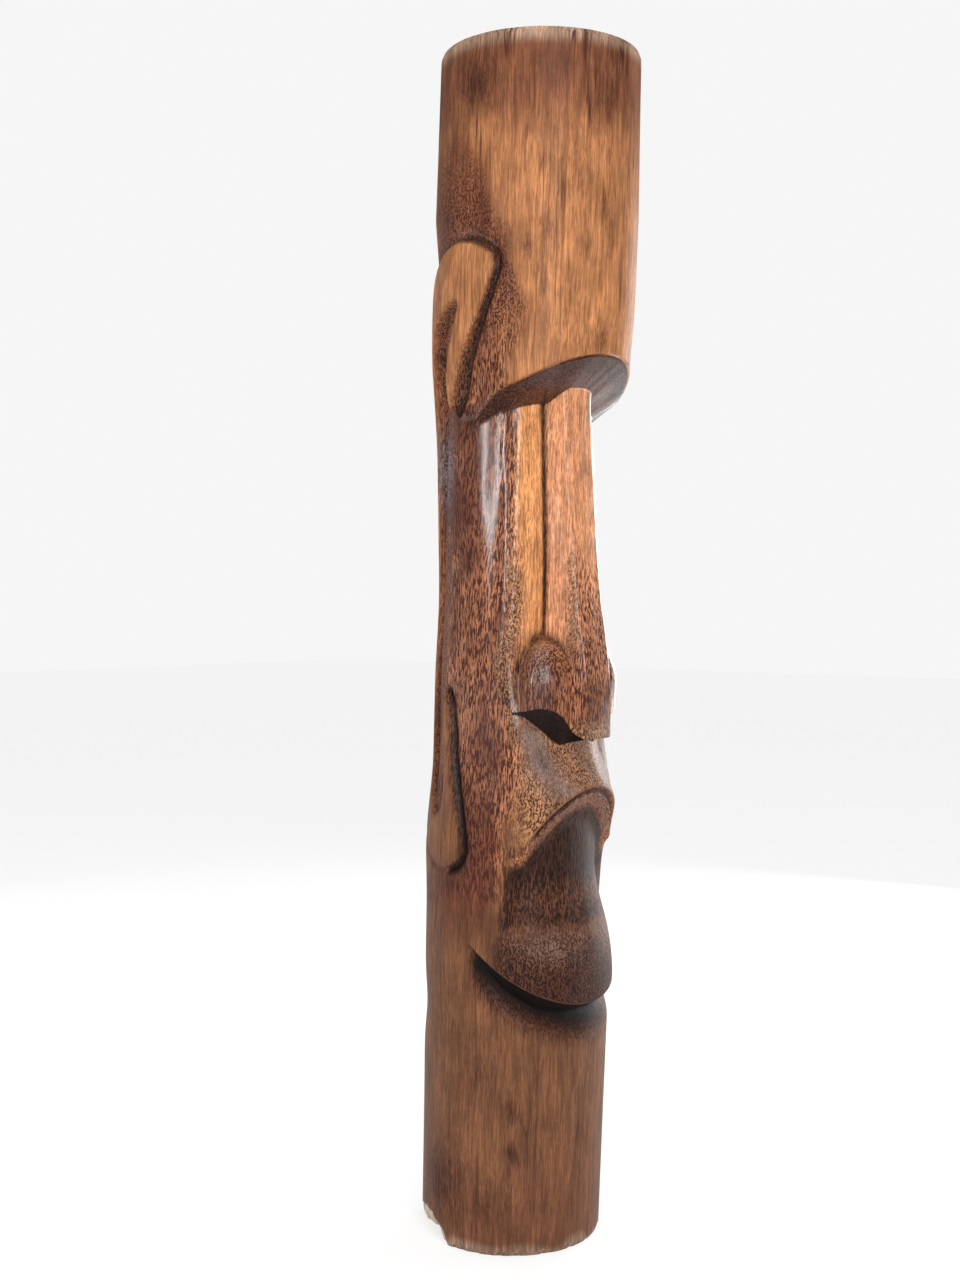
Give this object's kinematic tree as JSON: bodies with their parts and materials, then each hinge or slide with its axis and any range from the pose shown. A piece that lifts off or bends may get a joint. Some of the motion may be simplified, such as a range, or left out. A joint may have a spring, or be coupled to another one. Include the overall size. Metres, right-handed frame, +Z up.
{
  "type": "carved log figure",
  "caption": "Upright palm-wood log carved in the round into a long eyeless face with heavy brow, flat-fronted nose, closed mouth, long ears and a sawn flat foot.",
  "frame": {"origin": "centre of the sawn foot face, on the floor", "axes": "+Z up along the log, the face looks along -Y, the figure's left is +X"},
  "size_m": [0.268, 0.2739, 1.5],
  "materials": {
    "palm_wood": "carved coconut palm wood, dark fibre bundles in tan wood, scorched in the cuts, gloss clear coat"
  },
  "bodies": {
    "root": {"carved_log": "palm_wood"}
  },
  "joints": []
}
